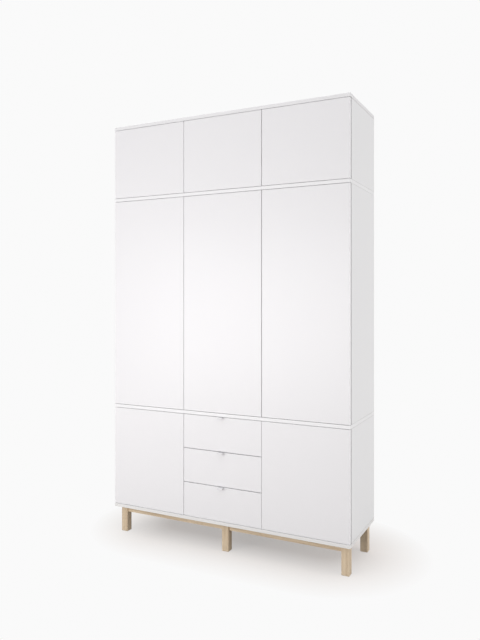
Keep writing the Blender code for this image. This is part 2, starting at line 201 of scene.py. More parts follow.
class EffectGroup:
    """A shader node group with named inputs and outputs, made once and shared by finishes."""

    name: str = ""
    inputs: tuple[tuple[str, Kind, Value], ...] = ()
    outputs: tuple[tuple[str, Kind], ...] = ()

    def tree(self) -> bpy.types.NodeTree:
        """Makes the group, or finds it if it is made already.

        Returns:
            The group's node tree.
        """
        made = bpy.data.node_groups.get(self.name)
        if made is not None:
            return made
        made = bpy.data.node_groups.new(self.name, "ShaderNodeTree")
        for name, kind, value in self.inputs:
            socket = made.interface.new_socket(name, in_out="INPUT", socket_type=kind.value)
            socket.default_value = value
        for name, kind in self.outputs:
            made.interface.new_socket(name, in_out="OUTPUT", socket_type=kind.value)
        graph = Graph(made)
        source = graph.add("NodeGroupInput")
        target = graph.add("NodeGroupOutput")
        self.fill(graph, source.outputs, target.inputs)
        return made

    def fill(self, graph: Graph, source: Outputs, target: Inputs) -> None:
        """Adds the group's own nodes to its graph, between its inputs and its outputs."""
        raise NotImplementedError

    def use(self, graph: Graph, **values: Value) -> Outputs:
        """Places the group in a material, with a value or socket for each input by name."""
        return graph.add("ShaderNodeGroup", values, node_tree=self.tree()).outputs


class PressedSkin(EffectGroup):
    """The faint pebble of a pressed or sprayed skin, a little paler on its crests."""

    name = "pressed_skin"
    inputs = (("Vector", Kind.VECTOR, ORIGIN), ("Scale", Kind.NUMBER, 400.0))
    outputs = (("Tone", Kind.NUMBER), ("Height", Kind.NUMBER))
    coarse_scale: float = 0.31
    coarse_height: float = 0.6

    def fill(self, graph: Graph, source: Outputs, target: Inputs) -> None:
        """Mixes two sizes of pebble for the height, and takes the tone from the larger.

        Args:
            graph: The group's graph.
            source: The group's inputs, as sockets to read.
            target: The group's outputs, as sockets to feed.
        """
        place, scale = source["Vector"], source["Scale"]
        fine = graph.noise(place, scale, detail=3.0)
        larger = graph.math("MULTIPLY", scale, self.coarse_scale)
        coarse = graph.noise(place, larger, detail=2.0)
        lift = graph.math("MULTIPLY", coarse, self.coarse_height)
        graph.feed(target["Height"], graph.math("ADD", fine, lift))
        graph.feed(target["Tone"], graph.spread(coarse, low=0.3, high=0.7))


class EdgeBand(EffectGroup):
    """A mask of the narrow edges of a board, where its band is glued on."""

    name = "edge_band"
    inputs = (("Face", Kind.VECTOR, Axis.Y.value),)
    outputs = (("Mask", Kind.NUMBER),)

    def fill(self, graph: Graph, source: Outputs, target: Inputs) -> None:
        """Compares the surface's direction with the direction that the board's faces look in.

        Args:
            graph: The group's graph.
            source: The group's inputs, as sockets to read.
            target: The group's outputs, as sockets to feed.
        """
        normal = graph.add("ShaderNodeNewGeometry").outputs["Normal"]
        flat = graph.math("ABSOLUTE", graph.measure("DOT_PRODUCT", normal, source["Face"]))
        graph.feed(target["Mask"], graph.spread(flat, low=0.55, high=0.85, start=1.0, end=0.0))


class WoodGrain(EffectGroup):
    """Straight oak grain along Z: growth bands, fine fibre and short open pores."""

    name = "wood_grain"
    inputs = (("Vector", Kind.VECTOR, ORIGIN),
              ("Pale", Kind.COLOUR, (0.6, 0.5, 0.35, 1.0)),
              ("Deep", Kind.COLOUR, (0.4, 0.3, 0.2, 1.0)))
    outputs = (("Colour", Kind.COLOUR), ("Roughness", Kind.NUMBER), ("Height", Kind.NUMBER))
    pore_colour: Colour = (0.20, 0.14, 0.085, 1.0)
    pore_stain: float = 0.35
    pore_depth: float = 1.2

    def fill(self, graph: Graph, source: Outputs, target: Inputs) -> None:
        """Layers bands, fibre and pores, each drawn out along the grain.

        Args:
            graph: The group's graph.
            source: The group's inputs, as sockets to read.
            target: The group's outputs, as sockets to feed.
        """
        place = source["Vector"]
        bands = graph.streaks(place, squeeze=0.035, scale=150.0, detail=3.0, warp=0.6)
        fibre = graph.streaks(place, squeeze=0.012, scale=620.0, detail=3.0)
        pores = graph.streaks(place, squeeze=0.05, scale=900.0, detail=1.0)
        drift = graph.streaks(place, squeeze=0.2, scale=14.0, detail=2.0)
        banded = graph.spread(bands, low=0.32, high=0.72, end=0.75)
        fibred = graph.spread(fibre, low=0.35, high=0.75, end=0.35)
        drifted = graph.spread(drift, low=0.3, high=0.7, start=-0.18, end=0.18)
        body = graph.math("ADD", graph.math("ADD", banded, fibred), drifted)
        pore = graph.spread(pores, low=0.62, high=0.72)
        toned = graph.mix(body, source["Pale"], source["Deep"])
        stain = graph.math("MULTIPLY", pore, self.pore_stain)
        graph.feed(target["Colour"], graph.mix(stain, toned, self.pore_colour))
        graph.feed(target["Roughness"], graph.spread(body, start=0.48, end=0.62))
        sunk = graph.math("MULTIPLY", pore, self.pore_depth)
        graph.feed(target["Height"], graph.math("SUBTRACT", body, sunk))


class DrawnLines(EffectGroup):
    """Fine lines left by rolling or drawing metal, along Z."""

    name = "drawn_lines"
    inputs = (("Vector", Kind.VECTOR, ORIGIN), ("Scale", Kind.NUMBER, 900.0))
    outputs = (("Tone", Kind.NUMBER), ("Height", Kind.NUMBER))

    def fill(self, graph: Graph, source: Outputs, target: Inputs) -> None:
        """Draws lines for the height, and adds clouds of plating to them for the tone.

        Args:
            graph: The group's graph.
            source: The group's inputs, as sockets to read.
            target: The group's outputs, as sockets to feed.
        """
        place = source["Vector"]
        lines = graph.streaks(place, squeeze=0.03, scale=source["Scale"], detail=2.0)
        clouds = graph.noise(place, scale=70.0, detail=3.0)
        mean = graph.math("MULTIPLY", graph.math("ADD", lines, clouds), 0.5)
        graph.feed(target["Height"], lines)
        graph.feed(target["Tone"], graph.spread(mean, low=0.3, high=0.7))


class PaintedSeamShade(EffectGroup):
    """A thin line of painted shade where a board is cut off at a level, standing in for the shadow
    in the joint.
    """

    name = "painted_seam_shade"
    inputs = (("Vector", Kind.VECTOR, ORIGIN), ("Level", Kind.NUMBER, 0.0),
              ("Strength", Kind.NUMBER, 1.0))
    outputs = (("Mask", Kind.NUMBER),)
    full_to: float = 0.0014
    gone_by: float = 0.0020

    def fill(self, graph: Graph, source: Outputs, target: Inputs) -> None:
        """Marks what lies within about two millimetres of the level.

        Args:
            graph: The group's graph.
            source: The group's inputs, as sockets to read.
            target: The group's outputs, as sockets to feed.
        """
        height = graph.part(source["Vector"], Axis.Z)
        off = graph.math("ABSOLUTE", graph.math("SUBTRACT", height, source["Level"]))
        line = graph.spread(off, self.full_to, self.gone_by, start=1.0, end=0.0)
        graph.feed(target["Mask"], graph.math("MULTIPLY", line, source["Strength"]))


SKIN = PressedSkin()
BAND = EdgeBand()
GRAIN = WoodGrain()
LINES = DrawnLines()
SEAM_SHADE = PaintedSeamShade()


@dataclass(frozen=True)
class Finish:
    """What every finish has: a name and a way to make its material."""

    name: str

    def material(self) -> bpy.types.Material:
        """Makes the finish's material, or finds it if it is made already.

        Returns:
            The material.
        """
        made = bpy.data.materials.get(self.name)
        if made is not None:
            return made
        made = bpy.data.materials.new(self.name)
        made.use_nodes = True
        graph = Graph(made.node_tree)
        shader = graph.add("ShaderNodeBsdfPrincipled")
        graph.add("ShaderNodeOutputMaterial", {"Surface": shader.outputs[0]})
        place = graph.add("ShaderNodeTexCoord").outputs["Object"]
        self.dress(graph, shader.inputs, place)
        return made

    def dress(self, graph: Graph, shader: Inputs, place: Socket) -> None:
        """Fills the inputs of the material's shader from Object coordinates."""
        raise NotImplementedError

    @staticmethod
    def bump(graph: Graph, shader: Inputs, height: Socket, depth: float, shown: float) -> None:
        """Adds relief to the surface: how deep it is, and how much of it shows."""
        inputs = {"Height": height, "Distance": depth, "Strength": shown}
        graph.feed(shader["Normal"], graph.add("ShaderNodeBump", inputs).outputs[0])


@dataclass(frozen=True)
class FacedBoard(Finish):
    """White faced board with a glued edge band."""

    face: Axis = Axis.Y
    colour: Colour = (0.799, 0.799, 0.813, 1.0)
    shade: Colour = (0.797, 0.797, 0.811, 1.0)
    band: Colour = (0.826, 0.822, 0.838, 1.0)
    seam_shade_colour: Colour = (0.26, 0.23, 0.20, 1.0)
    rough: float = 0.335
    rough_swing: float = 0.008
    band_smoother: float = 0.04
    pebble: float = 520.0
    relief: float = 0.00012
    relief_shown: float = 0.35
    # Level and strength of each line of painted shade where the board is cut off and meets another.
    seam_shades: tuple[Pair, ...] = ()

    def dress(self, graph: Graph, shader: Inputs, place: Socket) -> None:
        """Gives the faces a fine pebble, and the edges a smoother band of its own colour.

        Args:
            graph: The material's graph.
            shader: The inputs of its shader.
            place: Object coordinates.
        """
        skin = SKIN.use(graph, Vector=place, Scale=self.pebble)
        mask = BAND.use(graph, Face=self.face.value)["Mask"]
        toned = graph.mix(skin["Tone"], self.shade, self.colour)
        toned = graph.mix(mask, toned, self.band)
        # Each seam level darkens the colour with painted shade, standing in for the shadow in the
        # joint.
        for level, strength in self.seam_shades:
            seam = SEAM_SHADE.use(graph, Vector=place, Level=level, Strength=strength)["Mask"]
            toned = graph.mix(seam, toned, self.seam_shade_colour)
        graph.feed(shader["Base Color"], toned)
        rough = graph.spread(skin["Tone"], start=self.rough + self.rough_swing,
                             end=self.rough - self.rough_swing)
        smoother = graph.math("MULTIPLY", mask, self.band_smoother)
        graph.feed(shader["Roughness"], graph.math("SUBTRACT", rough, smoother))
        self.bump(graph, shader, skin["Height"], self.relief, self.relief_shown)


@dataclass(frozen=True)
class BackSheet(Finish):
    """Thin fibreboard, white on the side that looks into the wardrobe and raw brown behind."""

    white: Colour = (0.77, 0.767, 0.777, 1.0)
    brown: Colour = (0.30, 0.195, 0.115, 1.0)
    dark: Colour = (0.21, 0.13, 0.075, 1.0)
    white_rough: float = 0.45
    raw_rough: float = 0.75
    pebble: float = 300.0
    relief: float = 0.0002
    relief_shown: float = 0.4

    def dress(self, graph: Graph, shader: Inputs, place: Socket) -> None:
        """Tells the two sides apart by the way the surface looks.

        Args:
            graph: The material's graph.
            shader: The inputs of its shader.
            place: Object coordinates.
        """
        skin = SKIN.use(graph, Vector=place, Scale=self.pebble)
        normal = graph.add("ShaderNodeNewGeometry").outputs["Normal"]
        raw = graph.spread(graph.part(normal, Axis.Y), low=-0.5, high=-0.2)
        fibres = graph.noise(place, scale=260.0, detail=4.0, warp=1.5)
        fibred = graph.mix(graph.spread(fibres, low=0.35, high=0.7), self.brown, self.dark)
        graph.feed(shader["Base Color"], graph.mix(raw, self.white, fibred))
        rough = graph.spread(raw, start=self.white_rough, end=self.raw_rough)
        graph.feed(shader["Roughness"], rough)
        self.bump(graph, shader, skin["Height"], self.relief, self.relief_shown)


@dataclass(frozen=True)
class Oak(Finish):
    """Pale oak under a clear matt lacquer."""

    length: Axis = Axis.Z
    pale: Colour = (0.79, 0.65, 0.475, 1.0)
    deep: Colour = (0.58, 0.438, 0.293, 1.0)
    relief: float = 0.00025
    relief_shown: float = 0.5

    def dress(self, graph: Graph, shader: Inputs, place: Socket) -> None:
        """Lays the grain along the piece.

        Args:
            graph: The material's graph.
            shader: The inputs of its shader.
            place: Object coordinates.
        """
        laid = graph.stretch(place, turn=self.length.turn())
        grain = GRAIN.use(graph, Vector=laid, Pale=self.pale, Deep=self.deep)
        graph.feed(shader["Base Color"], grain["Colour"])
        graph.feed(shader["Roughness"], grain["Roughness"])
        self.bump(graph, shader, grain["Height"], self.relief, self.relief_shown)


@dataclass(frozen=True)
class PlatedSteel(Finish):
    """Plated steel, either satin zinc or bright chrome."""

    colour: Colour = (0.62, 0.63, 0.64, 1.0)
    shade: Colour = (0.50, 0.51, 0.525, 1.0)
    rough: float = 0.42
    smooth: float = 0.28
    length: Axis = Axis.Y
    line_scale: float = 1500.0
    relief: float = 0.00004
    relief_shown: float = 0.6

    def dress(self, graph: Graph, shader: Inputs, place: Socket) -> None:
        """Draws the rolling lines along the piece.

        Args:
            graph: The material's graph.
            shader: The inputs of its shader.
            place: Object coordinates.
        """
        laid = graph.stretch(place, turn=self.length.turn())
        lines = LINES.use(graph, Vector=laid, Scale=self.line_scale)
        graph.feed(shader["Base Color"], graph.mix(lines["Tone"], self.shade, self.colour))
        graph.feed(shader["Metallic"], 1.0)
        rough = graph.spread(lines["Tone"], start=self.rough, end=self.smooth)
        graph.feed(shader["Roughness"], rough)
        self.bump(graph, shader, lines["Height"], self.relief, self.relief_shown)


@dataclass(frozen=True)
class MouldedPlastic(Finish):
    """Moulded plastic with a fine spark-eroded skin."""

    colour: Colour = (0.72, 0.72, 0.71, 1.0)
    shade: Colour = (0.69, 0.69, 0.68, 1.0)
    rough: float = 0.55
    smooth: float = 0.42
    pebble: float = 1600.0
    relief: float = 0.00005
    relief_shown: float = 0.5

    def dress(self, graph: Graph, shader: Inputs, place: Socket) -> None:
        """Gives the skin its grain, paler and smoother on the crests.

        Args:
            graph: The material's graph.
            shader: The inputs of its shader.
            place: Object coordinates.
        """
        skin = SKIN.use(graph, Vector=place, Scale=self.pebble)
        graph.feed(shader["Base Color"], graph.mix(skin["Tone"], self.shade, self.colour))
        rough = graph.spread(skin["Tone"], start=self.rough, end=self.smooth)
        graph.feed(shader["Roughness"], rough)
        self.bump(graph, shader, skin["Height"], self.relief, self.relief_shown)


@dataclass(frozen=True)
class SprayedMetal(MouldedPlastic):
    """Sheet metal with a white sprayed coat, whose skin ripples more coarsely than plastic's."""

    colour: Colour = (0.72, 0.713, 0.73, 1.0)
    shade: Colour = (0.70, 0.693, 0.71, 1.0)
    rough: float = 0.42
    smooth: float = 0.36
    pebble: float = 1100.0
    relief: float = 0.00006


FRONT_BOARD = FacedBoard("front_board", face=Axis.Y, colour=(0.794, 0.785, 0.805, 1.0),
                         shade=(0.792, 0.783, 0.803, 1.0))
UPRIGHT_BOARD = FacedBoard("upright_board", face=Axis.X)
LEVEL_BOARD = FacedBoard("level_board", face=Axis.Z)
# Its band is painted darker than the other boards' bands, as painted shade for the dimmer light
# near the floor.
BOTTOM_BOARD = FacedBoard("bottom_board", face=Axis.Z, band=(0.765, 0.757, 0.752, 1.0))
# Its band is painted darker than the other boards' bands, as painted shade for the duller light at
# the top.
TOP_BOARD = FacedBoard("top_board", face=Axis.Z, band=(0.778, 0.772, 0.788, 1.0))
BOX_BOARD = FacedBoard("box_board", face=Axis.Z, rough=0.42)
BOX_SHEET = FacedBoard("box_sheet", face=Axis.Z, colour=(0.756, 0.753, 0.763, 1.0),
                       shade=(0.754, 0.751, 0.761, 1.0), rough=0.50)
BACK_SHEET = BackSheet("back_sheet")
OAK_UPRIGHT = Oak("oak_upright", length=Axis.Z)
OAK_LEVEL = Oak("oak_level", length=Axis.X)
SPRAYED = SprayedMetal("sprayed_metal")
ZINC = PlatedSteel("zinc_steel")
CHROME = PlatedSteel("chrome_tube", colour=(0.80, 0.80, 0.81, 1.0),
                     shade=(0.74, 0.745, 0.755, 1.0), smooth=0.08, rough=0.16, length=Axis.X,
                     relief=0.00001)
PLASTIC = MouldedPlastic("moulded_plastic")
BUFFER = MouldedPlastic("soft_buffer", colour=(0.62, 0.63, 0.64, 1.0),
                        shade=(0.59, 0.60, 0.61, 1.0))


def spaced(start: float, end: float, spaces: int) -> list[float]:
    """Divides a length into equal spaces, and gives its ends and the points between them."""
    return [start + (end - start) * step / spaces for step in range(spaces + 1)]


def about(middle: float, half: float) -> Pair:
    """Gives the two places half a length to either side of a middle."""
    return middle - half, middle + half


def inside(low: float, high: float, inset: float) -> Pair:
    """Gives the two places that lie in from the ends of a length."""
    return low + inset, high - inset


def shifted(base: float, ends: Pair, way: float = 1.0) -> Pair:
    """Gives the two places at distances from a base, counted up for 1 and down for -1."""
    return base + way * ends[0], base + way * ends[1]


def sideways(way: float) -> Vector:
    """Gives the direction along X, to the right for 1 and to the left for -1."""
    return Vector((way, 0.0, 0.0))


def edges_at(points: Iterable[bmesh.types.BMVert]) -> list[bmesh.types.BMEdge]:
    """Finds the edges that meet at some points."""
    return list({edge for point in points for edge in point.link_edges})


def ease_edges(mesh: Mesh, edges: list[bmesh.types.BMEdge], ease: float, segments: int) -> None:
    """Rounds some edges over by a distance, in a number of facets."""
    bmesh.ops.bevel(mesh, geom=edges, offset=ease, offset_type="OFFSET", affect="EDGES",
                    segments=segments, profile=0.5, material=-1, clamp_overlap=True)


def cut_lengthways(mesh: Mesh, longer: float, cuts: int) -> None:
    """Cuts the edges that reach further than a length along Y into a number of shorter pieces."""
    edges = [edge for edge in mesh.edges
             if abs(edge.verts[0].co.y - edge.verts[1].co.y) > longer]
    bmesh.ops.subdivide_edges(mesh, edges=edges, cuts=cuts, use_grid_fill=True)


def add_block(mesh: Mesh, across: Pair, deep: Pair, tall: Pair, ease: float = 0.0,
              segments: int = 2) -> None:
    """Adds a block with eased edges.

    Args:
        mesh: The mesh to add to.
        across: Where it starts and ends along X, in either order.
        deep: The same along Y.
        tall: The same along Z.
        ease: How far its edges are rounded.
        segments: How many facets the rounding has.
    """
    low = Vector([min(ends) for ends in (across, deep, tall)])
    high = Vector([max(ends) for ends in (across, deep, tall)])
    place = Matrix.Translation((low + high) / 2) @ Matrix.Diagonal((*(high - low), 1.0))
    made = bmesh.ops.create_cube(mesh, size=1.0, matrix=place)["verts"]
    if ease > 0.0:
        ease_edges(mesh, edges_at(made), ease, segments)


def add_sweep(mesh: Mesh, outline: Sequence[Triple], sweep: Triple, ease: float = 0.0) -> None:
    """Adds a solid by sweeping a flat outline in a straight line.

    Args:
        mesh: The mesh to add to.
        outline: The outline's corners.
        sweep: How far it goes.
        ease: How far the edges are rounded.
    """
    face = mesh.faces.new([mesh.verts.new(point) for point in outline])
    grown = bmesh.ops.extrude_face_region(mesh, geom=[face])["geom"]
    moved = [item for item in grown if isinstance(item, bmesh.types.BMVert)]
    bmesh.ops.translate(mesh, verts=moved, vec=Vector(sweep))
    if ease > 0.0:
        ease_edges(mesh, edges_at([*moved, *face.verts]), ease, 2)


def add_turning(mesh: Mesh, outline: Sequence[Pair], foot: Triple, along: Vector,
                steps: int) -> None:
    """Adds a turned form by spinning an outline about an axis.

    Args:
        mesh: The mesh to add to.
        outline: Radius and height of each point, from the axis back to the axis.
        foot: Where height zero is on the axis.
        along: The axis, as a unit vector.
        steps: How many facets it has round the axis.
    """
    centre = Vector(foot)
    across = along.orthogonal().normalized()
    points = [mesh.verts.new(centre + across * radius + along * height)
              for radius, height in outline]
    edges = [mesh.edges.new(pair) for pair in zip(points, points[1:])]
    before = set(mesh.verts) - set(points)
    bmesh.ops.spin(mesh, geom=[*points, *edges], cent=centre, axis=along, angle=math.tau,
                   steps=steps, use_merge=True, use_normal_flip=False, use_duplicate=False)
    made = [vertex for vertex in mesh.verts if vertex not in before]
    bmesh.ops.remove_doubles(mesh, verts=made, dist=1e-6)


def add_ring(mesh: Mesh, outline: Sequence[Pair], foot: Triple, along: Vector,
             steps: int) -> None:
    """Adds a turned ring, whose outline is closed and stays off the axis."""
    add_turning(mesh, [*outline, outline[0]], foot, along, steps)


@dataclass(frozen=True)
class TurnedForm:
    """A small turned form, given in parts of its radius and its height, from axis to axis."""

    outline: tuple[Pair, ...]
    steps: int

    def add(self, mesh: Mesh, foot: Triple, along: Vector, radius: float, rise: float) -> None:
        """Adds the form to a mesh at its real radius and height."""
        outline = [(radius * out, rise * up) for out, up in self.outline]
        add_turning(mesh, outline, foot, along, self.steps)


SCREW_HEAD = TurnedForm(((0.0, 0.35), (0.26, 0.4), (0.36, 1.0), (0.78, 0.78), (1.0, 0.2),
                         (1.0, 0.0), (0.0, 0.0)), steps=10)
NAIL_HEAD = TurnedForm(((0.0, 1.0), (0.6, 8 / 9), (1.0, 1 / 3), (1.0, 0.0), (0.0, 0.0)), steps=8)
CAM_COVER = TurnedForm(((0.0, 0.6), (0.2, 0.6), (0.24, 1.0), (0.92, 1.0), (1.0, 0.5),
                        (1.0, 0.0), (0.0, 0.0)), steps=20)
SOFT_STOP = TurnedForm(((0.0, 1.0), (0.45, 0.97), (0.8, 0.75), (1.0, 0.25), (1.0, 0.0),
                        (0.0, 0.0)), steps=16)


def add_screw(mesh: Mesh, seat: Triple, along: Vector, radius: float) -> None:
    """Adds a screw's domed head with its recess, half as high as its radius."""
    SCREW_HEAD.add(mesh, seat, along, radius, radius / 2)


def make_piece(name: str, mesh: Mesh, finish: Finish, body: str | None) -> bpy.types.Object:
    """Makes an object of a finished mesh, dresses it and puts it on a body.

    Args:
        name: The piece's name.
        mesh: Its mesh, which is used up.
        finish: Its finish.
        body: The body that it rides on, or None to leave it on no body.

    Returns:
        The new object.
    """
    bmesh.ops.recalc_face_normals(mesh, faces=mesh.faces)
    data = bpy.data.meshes.new(name)
    mesh.to_mesh(data)
    mesh.free()
    data.shade_smooth()
    data.set_sharp_from_angle(angle=CRISP_ANGLE)
    data.materials.append(finish.material())
    made = bpy.data.objects.new(name, data)
    bpy.context.scene.collection.objects.link(made)
    if body is not None:
        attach(made, body)
    LOG.info("piece %s: %d faces on %s", name, len(data.polygons), body or "two bodies")
    return made


def dress_node(name: str, finish: Finish) -> None:
    """Gives a CAD node its finish.

    Args:
        name: The node's name.
        finish: The finish.
    """
    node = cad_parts[name]
    if not node.material_slots:
        node.data.materials.append(None)
    for slot in node.material_slots:
        slot.material = finish.material()
    LOG.info("node %s: %s", name, finish.name)


@dataclass
class LegFrame:
    """Six oak legs and the two oak rails between them."""

    rows: tuple[str, ...] = ("front", "rear")
    columns: tuple[str, ...] = ("left", "middle", "right")

    def build(self) -> None:
        """Dresses the legs and rails."""
        for row in self.rows:
            for column in self.columns:
                dress_node(f"leg_{row}_{column}", OAK_UPRIGHT)
            dress_node(f"{row}_rail", OAK_LEVEL)


@dataclass
class Carcass:
    """The boards, uprights and back sheets, with their cam covers and back nails."""

    boards: dict[str, FacedBoard] = field(default_factory=lambda: {
        "bottom_board": BOTTOM_BOARD, "lower_board": LEVEL_BOARD,
        "upper_board": LEVEL_BOARD, "top_board": TOP_BOARD})
    uprights: dict[str, tuple[str, ...]] = field(default_factory=lambda: {
        "base": ("left_side", "left_divider", "right_divider", "right_side"),
        "tall": ("left_side", "divider", "right_side"),
        "top": ("left_side", "divider", "right_side")})
    # How strongly the line of painted shade shows at the foot and at the head of each section's
    # outer sides.
    seam_shades: dict[str, Pair] = field(default_factory=lambda: {
        "base": (1.0, 0.25), "tall": (0.4, 0.1), "top": (0.1, 1.0)})
    cover_radius: float = 0.0085
    cover_rise: float = 0.0007
    cover_end: float = 0.034
    cover_set: float = 0.075
    nail_pitch: float = 0.120
    nail_radius: float = 0.0035
    nail_rise: float = 0.0009
    nail_inset: float = 0.0063
    fewest_spaces: int = 2

    def build(self) -> None:
        """Dresses the boards and adds the small fixings."""
        for name, finish in self.boards.items():
            dress_node(name, finish)
        for section, names in self.uprights.items():
            for name in names:
                outer = "side" in name
                finish = self.outer_side(section, name) if outer else UPRIGHT_BOARD
                dress_node(f"{section}_{name}", finish)
            dress_node(f"{section}_back", BACK_SHEET)
            self.cam_covers(section, names)
            self.back_nails(section)

    def outer_side(self, section: str, name: str) -> FacedBoard:
        """Makes the finish of an outer side, with lines of painted shade where it meets the boards.

        Args:
            section: The section's name.
            name: The side's name.

        Returns:
            The finish.
        """
        low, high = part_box(f"{section}_{name}")
        below, above = self.seam_shades[section]
        return FacedBoard(f"{section}_{name}_board", face=Axis.X,
                          seam_shades=((low.z, below), (high.z, above)))

    def cam_covers(self, section: str, names: Sequence[str]) -> None:
        """Adds the caps over the cam fittings at the ends of a section's uprights.

        Args:
            section: The section's name.
            names: The names of its uprights.
        """
        mesh = bmesh.new()
        for name in names:
            low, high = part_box(f"{section}_{name}")
            faces = []
            if name != "left_side":
                faces.append((low.x, -1.0))
            if name != "right_side":
                faces.append((high.x, 1.0))
            for x, way in faces:
                for y in inside(low.y, high.y, self.cover_set):
                    for z in inside(low.z, high.z, self.cover_end):
                        CAM_COVER.add(mesh, (x, y, z), sideways(way), self.cover_radius,
                                      self.cover_rise)
        make_piece(f"{section}_cam_covers", mesh, PLASTIC, CARCASS)

    def back_nails(self, section: str) -> None:
        """Adds the nails that hold a section's back sheet, in rows along its four edges.

        Args:
            section: The section's name.
        """
        low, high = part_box(f"{section}_back")
        left, right = inside(low.x, high.x, self.nail_inset)
        foot, head = inside(low.z, high.z, self.nail_inset)
        across = spaced(left, right, self.nail_spaces(right - left))
        up = spaced(foot, head, self.nail_spaces(head - foot))
        places = [(x, z) for x in across for z in (foot, head)]
        places += [(x, z) for z in up[1:-1] for x in (left, right)]
        mesh = bmesh.new()
        for x, z in places:
            NAIL_HEAD.add(mesh, (x, high.y, z), REARWARD, self.nail_radius, self.nail_rise)
        make_piece(f"{section}_back_nails", mesh, ZINC, CARCASS)

    def nail_spaces(self, length: float) -> int:
        """Counts the spaces between the nails along an edge."""
        return max(self.fewest_spaces, round(length / self.nail_pitch))


@dataclass(frozen=True)
class HingeSizes:
    """Sizes of one concealed hinge, the same on every door."""

    cup_edge: float = 0.023
    cup_radius: float = 0.0172
    cup_depth: float = 0.0110
    cup_sheet: float = 0.0008
    cup_steps: int = 36
    # Points of the cup's outline, out from its radius and up from the door or from its floor.
    cup_rim: tuple[Pair, ...] = ((0.0, 0.0), (0.0016, 0.0002), (0.0012, 0.0011),
                                 (-0.0006, 0.0011), (-0.0012, 0.0004))
    cup_foot: tuple[Pair, ...] = ((-0.0014, 0.0018), (-0.0032, 0.0008))
    wing: Pair = (0.0125, 0.0265)
    wing_rise: Pair = (0.0001, 0.0011)
    wing_half: float = 0.0275
    wing_ease: float = 0.0004
    wing_screw_in: float = 0.0205
    wing_screw_half: float = 0.0225
    wing_screw_radius: float = 0.0038
    # Depth and rise of each point of the arm's side, and how far it moves with the crank.
    arm_side: tuple[Triple, ...] = (
        (0.058, 0.0035, 0.0), (0.058, 0.0095, 0.0), (0.053, 0.0125, 0.0), (0.021, 0.0125, 0.0),
        (0.010, 0.0120, 1.0), (0.003, 0.0112, 1.0), (-0.0012, 0.0100, 1.0),
        (-0.0012, 0.0022, 1.0), (0.004, 0.0014, 1.0), (0.010, 0.0035, 0.6), (0.020, 0.0035, 0.0))
    arm_half: float = 0.0072
    arm_ease: float = 0.0006
    crank_short: float = 0.006
    plate_rise: Pair = (0.0002, 0.0040)
    plate_deep: Pair = (0.030, 0.046)
    plate_half: float = 0.022
    plate_ease: float = 0.0012
    plate_screw_deep: float = 0.038
    plate_screw_half: float = 0.016
    plate_screw_radius: float = 0.0040
    saddle_deep: Pair = (0.024, 0.056)
    saddle_half: float = 0.0085
    saddle_ease: float = 0.0010
    adjust_deep: Pair = (0.027, 0.046)
    adjust_rise: float = 0.0125
    adjust_radius: float = 0.0036
    # Foot and head of each link, from the hinge's level, and half its thickness.
    links: tuple[Triple, ...] = ((-0.0058, -0.0042, 0.0036), (0.0042, 0.0058, 0.0036),
                                 (-0.0026, 0.0026, 0.0020))
    link_sunk: float = 0.0085
    link_behind: float = 0.0010
    link_shortest: float = 0.004
    link_cuts: int = 18
    bend_before: float = 0.0006
    bend_short: float = 0.0010


@dataclass(frozen=True)
class LatchSizes:
    """Sizes of one push latch, the same on every door."""

    width: float = 0.016
    height: float = 0.014
    length: float = 0.078
    inset: float = 0.045
    set_back: float = 0.004
    ease: float = 0.0022
    ease_segments: int = 3
    ear: float = 0.009
    ear_deep: Pair = (0.020, 0.040)
    ear_rise: float = 0.003
    ear_ease: float = 0.0010
    clear: float = 0.0004
    tip_radius: float = 0.0034
    tip_round: float = 0.0010
    rod_radius: float = 0.0042
    rod_steps: int = 20
    # Radius and height of each point of the collar that guides the rod, back to the axis.
    collar: tuple[Pair, ...] = ((0.0042, 0.0012), (0.0052, 0.0010), (0.0056, 0.0),
                                (0.0056, -0.0020), (0.0, -0.0020))
    screw_out: float = 0.005
    screw_deep: float = 0.030
    screw_radius: float = 0.0030


